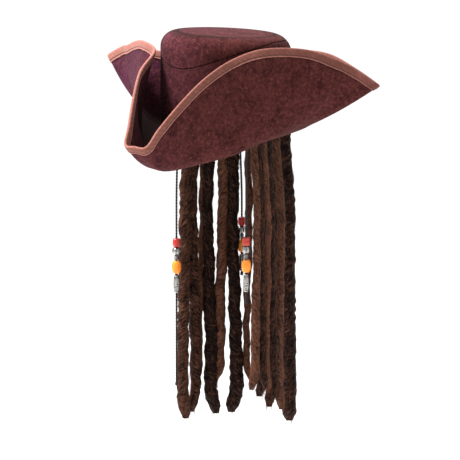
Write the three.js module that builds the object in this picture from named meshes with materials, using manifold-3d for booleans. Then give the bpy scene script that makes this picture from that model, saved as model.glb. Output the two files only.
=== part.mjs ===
// A costume tricorn of suede cloth, with a fringe of dreadlocks and three strings of beads.
// Millimetres, +Z up. The origin is the middle of the head opening, level with its edge at the
// front and the back.
// The front corner points to -Y, and the wearer's left is +X.
import * as THREE from 'three';
import { mergeVertices } from 'three/addons/utils/BufferGeometryUtils.js';
import Module from 'manifold-3d';

const wasm = await Module();
wasm.setup();

// The head opening, inside the side band
const OPENING_WIDTH = 176;
const OPENING_LENGTH = 208;
const OPENING_LIFT = 9; // how far its edge rises at the sides

// The crown: walls of backed suede, and how they rise
const CROWN_WALL = 2;
const CROWN_HEIGHT = 155.5; // top edge at mid length
const CROWN_EDGE_RADIUS = 25; // rounding between the side and the top
const CROWN_DOME = 3; // how far the middle of the top stands above its edge
const CROWN_TOP_FALL = 24; // how much lower the top's edge is at the back than at the front
const SEAM_BELOW_TOP = 6.5; // the seam of tip and side band stays this far under the top's edge

// The brim: one stiffened ring turned up into three flaps
const BRIM_WALL = 2.2;
const CORNER_REACH = 124; // how far the front corner stands out from the crown
const FLAP_HEIGHT = 150; // highest rim above the opening
const BRIM_FOLD_EASE = 0.66; // 0 folds the brim lazily, 1 sharply

// The bias tape folded over the rim
const TAPE_WIDTH = 11;
const TAPE_WALL = 1.1;

// Clearance that sewn pieces keep
const SEWN_GAP = 0.3;

// The fringe: a backing tape inside the opening, and the locks sewn to it
const BACKING_HEIGHT = 16;
const BACKING_WALL = 1.6;
const SEWN_AT = 0.7; // height of the stitches on the backing, as a share of it
const BACKING_FROM = -36; // degrees round the opening, 0 at +X, 90 at the back
const BACKING_TO = 190;
const LOCK_LENGTH = 450;
const LOCK_WIDTH = 15;
const LOCK_LUMPS = 0.1; // how much a lock narrows between its lumps, as a share of its width
const LOCK_TIP = 0.25; // width of its frayed end, as a share of its width
const LOCK_TAPER_FROM = 0.85; // share of its length where it starts to thin
const LOCK_WAVES = 0.85; // how many waves it makes on its way down
const LOCK_SWAY = 4; // how far the waviest lock bends to the side
const LOCK_SPREAD = 7; // how far the locks lean outwards
const LEAN_FROM = 20; // depth under the sewn end where leaning starts
const LEAN_TO = 130; // depth from which everything hangs plumb again

// The strings of beads
const STRING_LENGTH = 410;
const STRING_LEAN = 18; // how far the string that leans most stands outwards
const CORD_THICKNESS = 3.6;
const BEAD_CLEARANCE = 0.3;
const BEAD_WALL = 0.8; // least wall round a bead's hole
const BEAD_HEIGHT = 12.6; // the red barrel bead; the other beads follow the table
const BEAD_WIDTH = 12;

// How finely round things are cut
const BRIM_STATIONS = 84;
const BRIM_ROWS = 7;
const CROWN_STATIONS = 48;
const BAND_ROWS = 5;
const TIP_EDGE_ROWS = 4;
const TIP_DOME_SHARES = [0.75, 0.4]; // rings of the dome, as shares of its edge
const BACKING_STEPS = 24;
const LOCK_SIDES = 6;
const LOCK_STEPS = 9;
const BEAD_SIDES = 10;
const CORD_SIDES = 6;

const COLOURS = {
  suede: 0x4d2a2b,
  tape: 0x9c675c,
  hair: 0x2a150d,
  cord: 0x24130d,
  red: 0xc0161d,
  silver: 0xb9b7b2,
  amber: 0xf79a12,
};

// Rows of a table, each given by its columns' names.
function table(columns, rows) {
  return rows.map((row) => Object.fromEntries(columns.map((name, i) => [name, row[i]])));
}

// Height of the crown's seam round the side band, as shares of CROWN_HEIGHT
const SEAM_ROWS = [
  { at: -105, up: 0.755 },
  { at: -90, up: 0.76 },
  { at: -60, up: 0.85 },
  { at: -38, up: 0.92 },
  { at: 0, up: 0.96 },
  { at: 90, up: 0.97 },
  { at: 180, up: 0.92 },
  { at: 217, up: 0.82 },
  { at: 238, up: 0.785 },
];

// The brim's sections from the front corner round by +X. Each row says where the section leaves
// the opening (foot, degrees), where its fold lies and where its rim ends. Reaches outwards from the
// crown are shares of CORNER_REACH and heights are shares of FLAP_HEIGHT.
const BRIM_SECTIONS = table(
  ['name', 'foot', 'foldAt', 'foldOut', 'foldUp', 'rimAt', 'rimOut', 'rimUp'], [
  ['front corner', -91, -92, 0.608, -0.32, -92, 0.998, 0.15],
  ['trough edge', -87, -87, 0.646, -0.33, -87.6, 0.979, 0.15],
  ['trough wall', -80, -80, 0.613, -0.35, -84, 0.86, 0.32],
  ['flap start', -67, -69, 0.536, -0.32, -76.9, 0.626, 0.575],
  ['flap rise', -56, -58, 0.484, -0.27, -68.6, 0.388, 0.76],
  ['flap waist', -42, -43, 0.425, -0.16, -51.6, 0.128, 0.905],
  ['flap crest', -32, -30, 0.395, 0, -31, 0.199, 0.99],
  ['flap fall', -18, -13, 0.454, 0.14, -5.7, 0.476, 0.97],
  ['flap end', -9, -3, 0.551, 0.24, 3.2, 0.7, 0.88],
  ['corner side', 0, 5, 0.606, 0.28, 8.2, 0.883, 0.79],
  ['side corner', 11, 11, 0.641, 0.3, 11, 1.179, 0.625],
  ['back start', 22, 18, 0.56, 0.22, 20, 0.836, 0.71],
  ['back rise', 40, 40, 0.376, 0.06, 38, 0.417, 0.8],
  ['back crest', 90, 90, 0.33, -0.03, 90, 0.2, 0.7],
]);

// The wearer's right half mirrors the left, apart from what was bent differently by hand. Angles
// here are given on the left half too, and are mirrored with the rest of their row.
const RIGHT_HALF = {
  'trough edge': { foldAt: -86, foldOut: 0.516, rimAt: -83.8, rimOut: 0.981 },
  'trough wall': { foldAt: -80, foldOut: 0.446, rimAt: -82, rimOut: 0.862 },
  'flap start': { foldAt: -71, foldOut: 0.384, rimAt: -76.6, rimOut: 0.626 },
  'flap waist': { rimOut: 0.081, rimUp: 0.9 },
  'flap crest': { foldUp: -0.1, rimUp: 0.93 },
  'flap fall': { foldUp: -0.02, rimUp: 0.845 },
  'flap end': { foldUp: -0.04, rimUp: 0.765 },
  'corner side': { foldUp: -0.06, rimUp: 0.72 },
  'side corner': { foldOut: 0.604, foldUp: -0.07, rimUp: 0.59 },
  'back start': { foldUp: 0.02, rimUp: 0.66 },
  'back rise': { rimUp: 0.6 },
};

// Locks of the fringe. Length, width and sway are shares of LOCK_LENGTH, LOCK_WIDTH and LOCK_SWAY.
const LOCKS = [
  { at: -25, length: 0.83, width: 0.6, sway: 0.5 },
  { at: -20, length: 0.83, width: 0.55, sway: -0.5 },
  { at: -14, length: 0.84, width: 0.4, sway: 0.5 },
  { at: -8, length: 0.9, width: 0.8, sway: -0.75 },
  { at: 3, length: 0.92, width: 0.62, sway: 0.75 },
  { at: 36, length: 0.98, width: 1, sway: -1 },
  { at: 60, length: 0.95, width: 0.85, sway: 0.75 },
  { at: 76, length: 0.93, width: 0.9, sway: -0.75 },
  { at: 92, length: 0.92, width: 0.9, sway: 0.5 },
  { at: 108, length: 0.88, width: 0.5, sway: -0.5 },
  { at: 120, length: 0.98, width: 1, sway: 0.75 },
  { at: 132, length: 0.88, width: 0.85, sway: -0.75 },
  { at: 142.8, length: 0.99, width: 0.95, sway: 0.75 },
  { at: 150, length: 0.9, width: 0.4, sway: -0.5 },
  { at: 157.7, length: 0.98, width: 0.8, sway: 0.75 },
  { at: 169, length: 1, width: 0.9, sway: -0.75 },
];

// Strings of beads: where each hangs on the backing, how far it leans outwards as a share of
// STRING_LEAN, how far down its beads start and how long it is, both as shares of STRING_LENGTH
const STRINGS = [
  { name: '1', at: 180, lean: 0.11, beadsFrom: 0.436, length: 0.97 },
  { name: '2', at: -33, lean: 0, beadsFrom: 0.36, length: 0.6 },
  { name: '3', at: 114.5, lean: 1, beadsFrom: 0.373, length: 0.585 },
];

// Beads from the top of a string. Heights and widths are shares of the red bead's, the gap below
// is a share of its height, and each profile lists half-widths, evenly spaced down the bead.
const BEADS = table(['name', 'colour', 'height', 'width', 'gapBelow', 'profile'], [
  ['red_bead', 'red', 1, 1, 0.032, [0.66, 0.96, 1, 0.96, 0.66]],
  ['silver_ball', 'silver', 0.86, 1.13, 0.08, [0.5, 0.9, 1, 0.9, 0.5]],
  ['silver_spacer', 'silver', 0.56, 0.62, 0.095, [0.8, 1, 0.86, 1, 0.8]],
  ['amber_bead', 'amber', 1.52, 1.23, 0.16, [0.56, 0.9, 1, 0.9, 0.56]],
  ['silver_tube', 'silver', 2.1, 0.82, 0, [0.6, 0.9, 1, 0.9, 0.6]],
]);

const radians = THREE.MathUtils.degToRad;

function finish(colour) {
  const metal = colour === 'silver';
  const glossy = colour === 'red' || colour === 'amber';
  return new THREE.MeshStandardMaterial({
    color: COLOURS[colour],
    roughness: glossy ? 0.25 : metal ? 0.35 : 0.9,
    metalness: metal ? 0.9 : 0,
  });
}

function piece(name, geometry, colour) {
  const mesh = new THREE.Mesh(geometry, finish(colour));
  mesh.name = name;
  return mesh;
}

// Skins a closed grid: rings[i][j], where both i and j run round and close on themselves.
function ringOfRings(rings) {
  const across = rings[0].length;
  const points = rings.flat();
  const faces = [];
  rings.forEach((ring, i) => {
    const next = ((i + 1) % rings.length) * across;
    for (let j = 0; j < across; j++) {
      const k = (j + 1) % across;
      faces.push(i * across + j, next + j, next + k, i * across + j, next + k, i * across + k);
    }
  });
  return outward(points, faces);
}

// Skins a stack of rings and closes both ends with a fan.
function cappedStack(rings, start, end) {
  const around = rings[0].length;
  const points = [...rings.flat(), start, end];
  const faces = [];
  for (let i = 0; i + 1 < rings.length; i++) {
    for (let j = 0; j < around; j++) {
      const k = (j + 1) % around;
      const [a, b, c, d] = [i * around + j, i * around + k, (i + 1) * around + k, (i + 1) * around + j];
      faces.push(a, b, c, a, c, d);
    }
  }
  const last = (rings.length - 1) * around;
  for (let j = 0; j < around; j++) {
    const k = (j + 1) % around;
    faces.push(points.length - 2, k, j, points.length - 1, last + j, last + k);
  }
  return outward(points, faces);
}

// Builds the geometry, and turns its faces if they enclose a negative volume.
function outward(points, faces) {
  let volume = 0;
  for (let f = 0; f < faces.length; f += 3) {
    const [a, b, c] = [points[faces[f]], points[faces[f + 1]], points[faces[f + 2]]];
    volume += a.dot(new THREE.Vector3().crossVectors(b, c));
  }
  if (volume < 0) faces.reverse();
  const geometry = new THREE.BufferGeometry().setFromPoints(points);
  geometry.setIndex(faces);
  return geometry;
}

function toSolid(geometry) {
  const bare = geometry.clone();
  bare.deleteAttribute('normal');
  bare.deleteAttribute('uv');
  const merged = mergeVertices(bare);
  return new wasm.Manifold(new wasm.Mesh({
    numProp: 3,
    vertProperties: new Float32Array(merged.attributes.position.array),
    triVerts: new Uint32Array(merged.index.array),
  }));
}

function toGeometry(solid) {
  const { vertProperties, triVerts } = solid.getMesh();
  const geometry = new THREE.BufferGeometry();
  geometry.setAttribute('position', new THREE.BufferAttribute(vertProperties, 3));
  geometry.setIndex(new THREE.BufferAttribute(triVerts, 1));
  return geometry;
}

// A point on the opening's ellipse, moved outwards by a distance.
function onOpening(degrees, outwards, z = 0) {
  const turn = radians(degrees);
  return new THREE.Vector3(
    (OPENING_WIDTH / 2 + outwards) * Math.cos(turn),
    (OPENING_LENGTH / 2 + outwards) * Math.sin(turn),
    z,
  );
}

// Height of the opening's edge, lowest at the front and the back.
function hem(degrees) {
  return OPENING_LIFT * Math.cos(radians(degrees)) ** 2;
}

// The angle that onOpening takes to reach the direction of a point.
function openingAngle(point) {
  return THREE.MathUtils.radToDeg(Math.atan2(point.y / OPENING_LENGTH, point.x / OPENING_WIDTH));
}

// A point at a compass direction, moved outwards from where the brim is sewn to the crown.
function beyondCrown(degrees, outwards, z) {
  const turn = radians(degrees);
  const sewn = CROWN_WALL + SEWN_GAP;
  const [across, along] = [OPENING_WIDTH / 2 + sewn, OPENING_LENGTH / 2 + sewn];
  const reach = 1 / Math.hypot(Math.cos(turn) / across, Math.sin(turn) / along) + outwards;
  return new THREE.Vector3(reach * Math.cos(turn), reach * Math.sin(turn), z);
}

// Height of the top's edge, which falls towards the back.
function topEdgeHeight(y) {
  return CROWN_HEIGHT - (CROWN_TOP_FALL * y) / OPENING_LENGTH;
}

// The crown's stations are spaced along its seam. Each knows its angle and the seam's height.
const seamLine = new THREE.CatmullRomCurve3(
  SEAM_ROWS.map((row) => onOpening(row.at, CROWN_WALL, row.up * CROWN_HEIGHT)), true, 'centripetal');
const crownStations = seamLine.getSpacedPoints(CROWN_STATIONS).slice(1).map((point) => {
  const degrees = openingAngle(point);
  const { y } = onOpening(degrees, CROWN_WALL);
  return { degrees, y, seam: Math.min(point.z, topEdgeHeight(y) - SEAM_BELOW_TOP) };
});

// Angle up the rounded edge at a height: 0 where the side ends, a quarter turn at the top edge.
function edgeAngle(z, y) {
  const rise = (z - (topEdgeHeight(y) - CROWN_EDGE_RADIUS)) / CROWN_EDGE_RADIUS;
  return Math.asin(THREE.MathUtils.clamp(rise, 0, 1));
}

// The crown's outer face, taken inwards by inset, at an angle up the rounded edge.
function edgePoint(degrees, angle, inset) {
  const radius = CROWN_EDGE_RADIUS - inset;
  const inwards = radius * (1 - Math.cos(angle)) + inset;
  const point = onOpening(degrees, CROWN_WALL - inwards);
  point.z = topEdgeHeight(point.y) - CROWN_EDGE_RADIUS + radius * Math.sin(angle);
  return point;
}

// Across the side band from its hem to the seam, up the outer face and down the inner one.
function sideBandSection({ degrees, y, seam }) {
  const [outer, inner] = [0, CROWN_WALL].map((inset) => {
    const face = [];
    for (let row = 0; row <= BAND_ROWS; row++) {
      const height = THREE.MathUtils.lerp(hem(degrees), seam - SEWN_GAP / 2, Math.sqrt(row / BAND_ROWS));
      const point = edgePoint(degrees, edgeAngle(height, y), inset);
      face.push(point.setZ(Math.min(point.z, height)));
    }
    return face;
  });
  return [...outer, ...inner.reverse()];
}

function sideBand() {
  return ringOfRings(crownStations.map(sideBandSection));
}

// Rings of one face of the tip panel, from the seam over the edge and in towards the middle.
function tipFace(inset) {
  const rings = [];
  for (let row = 0; row <= TIP_EDGE_ROWS; row++) {
    rings.push(crownStations.map(({ degrees, y, seam }) => {
      const foot = seam + SEWN_GAP / 2;
      const angle = THREE.MathUtils.lerp(edgeAngle(foot, y), Math.PI / 2, row / TIP_EDGE_ROWS);
      const point = edgePoint(degrees, angle, inset);
      return row === 0 ? point.setZ(Math.min(point.z, foot)) : point;
    }));
  }
  const edge = rings[TIP_EDGE_ROWS];
  for (const share of TIP_DOME_SHARES) {
    rings.push(edge.map((p) => new THREE.Vector3(p.x * share, p.y * share, domeHeight(p, share))));
  }
  return { rings, middle: new THREE.Vector3(0, 0, domeHeight(edge[0], 0)) };
}

// Height of the dome on the way from its edge, at share 1, to its middle.
function domeHeight(edgePlace, share) {
  const drop = edgePlace.z - topEdgeHeight(edgePlace.y);
  return topEdgeHeight(edgePlace.y * share) + drop + CROWN_DOME * (1 - share * share);
}

function tipPanel() {
  const outer = tipFace(0);
  const inner = tipFace(CROWN_WALL);
  const rings = [...outer.rings.reverse(), ...inner.rings];
  return cappedStack(rings, outer.middle, inner.middle);
}

// The brim. Three smooth loops, foot, fold and rim, carry the sections.
function mirrored(row) {
  const bent = { ...row, ...RIGHT_HALF[row.name] };
  return { ...bent, foot: 180 - bent.foot, foldAt: 180 - bent.foldAt, rimAt: 180 - bent.rimAt };
}

const sections = [...BRIM_SECTIONS, ...BRIM_SECTIONS.slice(1, -1).reverse().map(mirrored)];

function loop(toPoint) {
  return new THREE.CatmullRomCurve3(sections.map(toPoint), true, 'centripetal');
}

const footLoop = loop((row) => onOpening(row.foot, CROWN_WALL + SEWN_GAP, hem(row.foot) + BRIM_WALL / 2));
const foldLoop = loop((row) => beyondCrown(
  row.foldAt, row.foldOut * CORNER_REACH, row.foldUp * FLAP_HEIGHT));
const rimLoop = loop((row) => beyondCrown(
  row.rimAt, row.rimOut * CORNER_REACH, row.rimUp * FLAP_HEIGHT));

// The brim's middle surface across one section, as a curve from the foot to the rim.
function sectionCurve(t) {
  const loose = footLoop.getPoint(t);
  const foot = onOpening(openingAngle(loose), CROWN_WALL + SEWN_GAP, loose.z);
  const fold = foldLoop.getPoint(t);
  const rim = rimLoop.getPoint(t);
  return new THREE.CubicBezierCurve3(
    foot,
    foot.clone().lerp(fold, BRIM_FOLD_EASE),
    rim.clone().lerp(fold, BRIM_FOLD_EASE),
    rim,
  );
}

// Middle-surface points of each station, the last two rows spanning the tape.
function brimGrid() {
  const grid = [];
  for (let i = 0; i < BRIM_STATIONS; i++) {
    const curve = sectionCurve(rimLoop.getUtoTmapping(i / BRIM_STATIONS));
    const tapeStart = 1 - TAPE_WIDTH / curve.getLength();
    const row = [];
    for (let j = 0; j < BRIM_ROWS; j++) row.push(curve.getPointAt((tapeStart * j) / (BRIM_ROWS - 1)));
    row.push(curve.getPointAt(1));
    grid.push(row);
  }
  return grid;
}

// Unit normals of the grid, turned to the side that faces the crown or the sky.
function gridNormals(grid) {
  const count = grid.length;
  return grid.map((row, i) => row.map((_, j) => {
    if (j === 0) return new THREE.Vector3(0, 0, 1);
    const along = grid[(i + 1) % count][j].clone().sub(grid[(i + count - 1) % count][j]);
    const across = row[Math.min(j + 1, row.length - 1)].clone().sub(row[j - 1]);
    return new THREE.Vector3().crossVectors(across, along).normalize();
  }));
}

const grid = brimGrid();
const normals = gridNormals(grid);

function offset(i, j, distance) {
  return grid[i][j].clone().addScaledVector(normals[i][j], distance);
}

function brim() {
  return ringOfRings(grid.map((row, i) => {
    const upper = row.map((_, j) => offset(i, j, BRIM_WALL / 2));
    const lower = row.map((_, j) => offset(i, j, -BRIM_WALL / 2));
    return [...upper, ...lower.reverse()];
  }));
}

// A channel round the rim: out over the upper face, round the edge and back under the brim.
function binding() {
  const near = BRIM_WALL / 2 + SEWN_GAP;
  const far = near + TAPE_WALL;
  const rim = BRIM_ROWS;
  const start = rim - 1;
  return ringOfRings(grid.map((row, i) => {
    const out = row[rim].clone().sub(row[start]).normalize();
    const beyond = (side, distance) => offset(i, rim, side).addScaledVector(out, distance);
    return [
      offset(i, start, near), beyond(near, SEWN_GAP), beyond(-near, SEWN_GAP), offset(i, start, -near),
      offset(i, start, -far), beyond(-far, SEWN_GAP), beyond(0, far), beyond(far, SEWN_GAP),
      offset(i, start, far),
    ];
  }));
}

function centre(ring) {
  return ring.reduce((sum, point) => sum.add(point), new THREE.Vector3()).divideScalar(ring.length);
}

function cappedTube(rings) {
  return cappedStack(rings, centre(rings[0]), centre(rings.at(-1)));
}

// A level ring of points round a middle.
function roundRing(middle, radius, sides, turn) {
  const ring = [];
  for (let i = 0; i < sides; i++) {
    const angle = (i / sides) * 2 * Math.PI + turn;
    const spoke = new THREE.Vector3(Math.cos(angle), Math.sin(angle), 0);
    ring.push(middle.clone().addScaledVector(spoke, radius));
  }
  return ring;
}

// The backing tape lies against the inside of the side band.
function backing() {
  const rings = [];
  const [outerSide, innerSide] = [-SEWN_GAP, -SEWN_GAP - BACKING_WALL];
  for (let i = 0; i <= BACKING_STEPS; i++) {
    const at = THREE.MathUtils.lerp(BACKING_FROM, BACKING_TO, i / BACKING_STEPS);
    const low = hem(at);
    const high = low + BACKING_HEIGHT;
    rings.push([
      onOpening(at, outerSide, low), onOpening(at, outerSide, high),
      onOpening(at, innerSide, high), onOpening(at, innerSide, low),
    ]);
  }
  return cappedTube(rings);
}

// Height at which locks and strings are sewn to the backing.
function sewnHeight(degrees) {
  return hem(degrees) + SEWN_AT * BACKING_HEIGHT;
}

// How far a hanging thing has moved outwards at a depth under its sewn end.
function leaning(depth, reach) {
  return reach * THREE.MathUtils.smoothstep(depth, LEAN_FROM, LEAN_TO);
}

// A felted rope that starts in the backing, leans outwards and ends in a frayed point.
function lock(row, index) {
  const half = (row.width * LOCK_WIDTH) / 2;
  const sideways = onOpening(row.at + 90, 0).normalize();
  const rings = [];
  for (let i = 0; i <= LOCK_STEPS; i++) {
    const share = i / LOCK_STEPS;
    const depth = share * row.length * LOCK_LENGTH;
    const outwards = leaning(depth, LOCK_SPREAD) - 2 * SEWN_GAP - half;
    const middle = onOpening(row.at, outwards, sewnHeight(row.at) - depth);
    middle.addScaledVector(sideways, row.sway * LOCK_SWAY * Math.sin(share * LOCK_WAVES * 2 * Math.PI));
    const lump = 1 - LOCK_LUMPS * Math.abs(Math.sin(2 * i + index));
    const taper = 1 - (1 - LOCK_TIP) * THREE.MathUtils.smoothstep(share, LOCK_TAPER_FROM, 1);
    rings.push(roundRing(middle, half * lump * taper, LOCK_SIDES, index));
  }
  return cappedTube(rings);
}

function fringe() {
  const locks = LOCKS.map((row, index) => toSolid(lock(row, index)));
  return toGeometry(locks.reduce((whole, one) => whole.add(one), toSolid(backing())));
}

// A point of a string, which hangs just inside the backing, at a depth under its sewn end.
function onString(string, depth) {
  const inwards = 2 * SEWN_GAP + BACKING_WALL + CORD_THICKNESS / 2;
  const outwards = leaning(depth, string.lean * STRING_LEAN) - inwards;
  return onOpening(string.at, outwards, sewnHeight(string.at) - depth);
}

function cord(string) {
  const depths = [0, LEAN_FROM, (LEAN_FROM + LEAN_TO) / 2, LEAN_TO, string.length * STRING_LENGTH];
  const halfSide = Math.PI / CORD_SIDES;
  return cappedTube(depths.map(
    (depth) => roundRing(onString(string, depth), CORD_THICKNESS / 2, CORD_SIDES, halfSide)));
}

// A drilled bead, turned about its own hole.
function bead(kind) {
  const height = kind.height * BEAD_HEIGHT;
  const half = (kind.width * BEAD_WIDTH) / 2;
  const hole = CORD_THICKNESS / 2 + BEAD_CLEARANCE;
  const last = kind.profile.length - 1;
  const skin = kind.profile.map((share, i) => new THREE.Vector2(
    Math.max(half * share, hole + BEAD_WALL),
    height * (0.5 - i / last),
  ));
  const profile = [new THREE.Vector2(hole, height / 2), ...skin, new THREE.Vector2(hole, -height / 2)];
  profile.push(profile[0]);
  const geometry = new THREE.LatheGeometry(profile.reverse(), BEAD_SIDES);
  return geometry.rotateX(Math.PI / 2);
}

function beadsOn(string) {
  const group = new THREE.Group();
  let depth = string.beadsFrom * STRING_LENGTH;
  for (const kind of BEADS) {
    const height = kind.height * BEAD_HEIGHT;
    const mesh = piece(`${kind.name}_${string.name}`, bead(kind), kind.colour);
    mesh.position.copy(onString(string, depth + height / 2));
    group.add(mesh);
    depth += height + Math.max(kind.gapBelow * BEAD_HEIGHT, SEWN_GAP);
  }
  return group;
}

const hat = new THREE.Group();
hat.add(piece('crown_side', sideBand(), 'suede'));
hat.add(piece('crown_tip', tipPanel(), 'suede'));
hat.add(piece('brim', brim(), 'suede'));
hat.add(piece('brim_binding', binding(), 'tape'));
hat.add(piece('dreadlocks', fringe(), 'hair'));
for (const string of STRINGS) {
  hat.add(piece(`bead_cord_${string.name}`, cord(string), 'cord'));
  hat.add(beadsOn(string));
}

export default hat;
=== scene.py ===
# A costume tricorn of suede cloth, with a fringe of felted dreadlocks and three strings of beads.
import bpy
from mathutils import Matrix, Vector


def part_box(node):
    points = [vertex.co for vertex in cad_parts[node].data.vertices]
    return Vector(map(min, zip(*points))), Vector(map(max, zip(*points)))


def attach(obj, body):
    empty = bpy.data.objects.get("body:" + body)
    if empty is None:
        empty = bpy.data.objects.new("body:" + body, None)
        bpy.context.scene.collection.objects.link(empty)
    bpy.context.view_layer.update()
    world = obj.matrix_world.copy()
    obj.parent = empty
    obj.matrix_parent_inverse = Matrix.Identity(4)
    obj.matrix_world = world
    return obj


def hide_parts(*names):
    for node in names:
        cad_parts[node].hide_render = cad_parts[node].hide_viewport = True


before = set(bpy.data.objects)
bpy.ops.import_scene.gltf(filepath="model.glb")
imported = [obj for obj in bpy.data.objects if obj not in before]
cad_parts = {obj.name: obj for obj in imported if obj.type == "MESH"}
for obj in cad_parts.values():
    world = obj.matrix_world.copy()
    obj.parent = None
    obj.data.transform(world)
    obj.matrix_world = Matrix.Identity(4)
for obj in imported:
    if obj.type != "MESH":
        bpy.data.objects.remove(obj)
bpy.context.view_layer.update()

import math

import bpy
import numpy as np
from mathutils import Vector

bl_info = {
    "name": "Suede Tricorn",
    "version": (1, 0, 0),
    "blender": (4, 5, 0),
    "location": "View3D > Sidebar > Tricorn",
    "description": "Dresses a tricorn hat with suede, bound rims, dreadlocks and strings of beads",
    "category": "Object",
}

MM = 0.001
BODY = "root"

# Sockets of the colour Mix node, which shares its names between kinds of value
FACTOR, COLOUR_A, COLOUR_B, MIXED = 0, 6, 7, 2

# The cloth of the crown and the brim
SUEDE = "Brushed microfibre suede"

# How far a wave texture's phase turns over one unit, in radians
WAVE_PHASE = 20


def table(columns, rows):
    """Rows of a table, each as a dict of its columns."""
    return [dict(zip(columns, row)) for row in rows]


# Height of the crown's seam round the side band, as shares of the crown's height
SEAM_ROWS = table(("at", "up"), [
    (-105, 0.755), (-90, 0.76), (-60, 0.85), (-38, 0.92), (0, 0.96),
    (90, 0.97), (180, 0.92), (217, 0.82), (238, 0.785),
])

# The brim's sections from the front corner round by +X: where each leaves the opening, where its
# fold lies and where its rim ends, in degrees, shares of the corner's reach and of the flap's height
BRIM_SECTIONS = table(
    ("name", "foot", "foldAt", "foldOut", "foldUp", "rimAt", "rimOut", "rimUp"), [
    ("front corner", -91, -92, 0.608, -0.32, -92, 0.998, 0.15),
    ("trough edge", -87, -87, 0.646, -0.33, -87.6, 0.979, 0.15),
    ("trough wall", -80, -80, 0.613, -0.35, -84, 0.86, 0.32),
    ("flap start", -67, -69, 0.536, -0.32, -76.9, 0.626, 0.575),
    ("flap rise", -56, -58, 0.484, -0.27, -68.6, 0.388, 0.76),
    ("flap waist", -42, -43, 0.425, -0.16, -51.6, 0.128, 0.905),
    ("flap crest", -32, -30, 0.395, 0, -31, 0.199, 0.99),
    ("flap fall", -18, -13, 0.454, 0.14, -5.7, 0.476, 0.97),
    ("flap end", -9, -3, 0.551, 0.24, 3.2, 0.7, 0.88),
    ("corner side", 0, 5, 0.606, 0.28, 8.2, 0.883, 0.79),
    ("side corner", 11, 11, 0.641, 0.3, 11, 1.179, 0.625),
    ("back start", 22, 18, 0.56, 0.22, 20, 0.836, 0.71),
    ("back rise", 40, 40, 0.376, 0.06, 38, 0.417, 0.8),
    ("back crest", 90, 90, 0.33, -0.03, 90, 0.2, 0.7),
])

# What was bent differently by hand on the wearer's right half, before it is mirrored
RIGHT_HALF = {
    "trough edge": {"foldAt": -86, "foldOut": 0.516, "rimAt": -83.8, "rimOut": 0.981},
    "trough wall": {"foldAt": -80, "foldOut": 0.446, "rimAt": -82, "rimOut": 0.862},
    "flap start": {"foldAt": -71, "foldOut": 0.384, "rimAt": -76.6, "rimOut": 0.626},
    "flap waist": {"rimOut": 0.081, "rimUp": 0.9},
    "flap crest": {"foldUp": -0.1, "rimUp": 0.93},
    "flap fall": {"foldUp": -0.02, "rimUp": 0.845},
    "flap end": {"foldUp": -0.04, "rimUp": 0.765},
    "corner side": {"foldUp": -0.06, "rimUp": 0.72},
    "side corner": {"foldOut": 0.604, "foldUp": -0.07, "rimUp": 0.59},
    "back start": {"foldUp": 0.02, "rimUp": 0.66},
    "back rise": {"rimUp": 0.6},
}

# Locks of the fringe: place on the opening, length, width and sway to the side as shares of the
# greatest, and how light its hair is
LOCKS = table(("at", "length", "width", "sway", "light"), [
    (-25, 0.83, 0.6, 0.5, 0.7), (-20, 0.83, 0.55, -0.5, 0.2), (-14, 0.84, 0.4, 0.5, 0.8),
    (-8, 0.9, 0.8, -0.75, 0.15), (3, 0.92, 0.62, 0.75, 0.65), (36, 0.98, 1, -1, 0.15),
    (60, 0.95, 0.85, 0.75, 0.5), (76, 0.93, 0.9, -0.75, 0.3), (92, 0.92, 0.9, 0.5, 0.1),
    (108, 0.88, 0.5, -0.5, 0.6), (120, 0.98, 1, 0.75, 0.1), (132, 0.88, 0.85, -0.75, 0.75),
    (142.8, 0.99, 0.95, 0.75, 0.05), (150, 0.9, 0.4, -0.5, 0.6), (157.7, 0.98, 0.8, 0.75, 0.35),
    (169, 1, 0.9, -0.75, 0.45),
])

# Strings of beads: place on the opening, and how far each leans outwards and hangs down as shares
# of the greatest
STRINGS = table(("name", "at", "lean", "length"), [
    ("1", 180, 0.11, 0.97), ("2", -33, 0, 0.6), ("3", 114.5, 1, 0.585),
])

# Half of the folded tape in section, in millimetres: from its inner edge towards the rim, and
# above the face of the brim. The dip is where the stitches pull it down.
TAPE_PROFILE = table(("along", "above"), [
    (0, 0.12), (0.15, 0.9), (0.7, 1.3), (1.5, 1.3), (2.1, 1.0), (2.7, 0.35), (3.3, 1.0), (4.2, 1.35),
    (5.6, 1.45), (7.4, 1.4), (9.4, 1.3), (10.7, 1.15),
])
STITCHES_ALONG = 2.7 * MM
STITCHES_ABOVE = 0.55 * MM

# How finely the surfaces are built
BRIM_STATIONS = 440
BRIM_ROWS = 38
SECTION_SAMPLES = 72
CROWN_STATIONS = 300
SIDE_ROWS = 29
CURL_ROWS = 7
TIP_ROWS = 25
DOME_ROWS = 18
LOCK_STEP = 2.2 * MM
LOCK_SIDES = 20
BACKING_STATIONS = 150
BEAD_SIDES = 40
CORD_STEP = 1.1 * MM

# Rows of the side band that its lining shares, and rows of the lining of the tip
BAND_LINING = [0, 10, 20, 29]
TIP_LINING_ROWS = 6

# How far the shade beside a seam or beside the tape spreads
SEAM_SHADE = 1.3 * MM

# Where the backing tape starts and ends on the opening, in degrees
BACKING_FROM, BACKING_TO = -36, 190

# How the locks are felted: one turn of the strands and of the grain, how far a lock wanders from
# its middle line, and how far its end hooks
STRAND_TURN = 46 * MM
GRAIN_LENGTH = 16 * MM
WANDER = 1.9 * MM
HOOK = 7 * MM

# Loose hairs beside a lock and in the wisp at its end: the span of the lock's length in which they
# start, the span of their own lengths, the greatest stray and the drift in millimetres, and a
# factor on how far they wind round
ALONG = {"start": (0.03, 0.97), "run": (12, 42), "stray": 3, "drift": 0.5, "wrap": 1}
WISP = {"start": (0.86, 0.99), "run": (14, 34), "stray": 6, "drift": 1.6, "wrap": 0.3}
WISP_SHARE = 0.12

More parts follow.
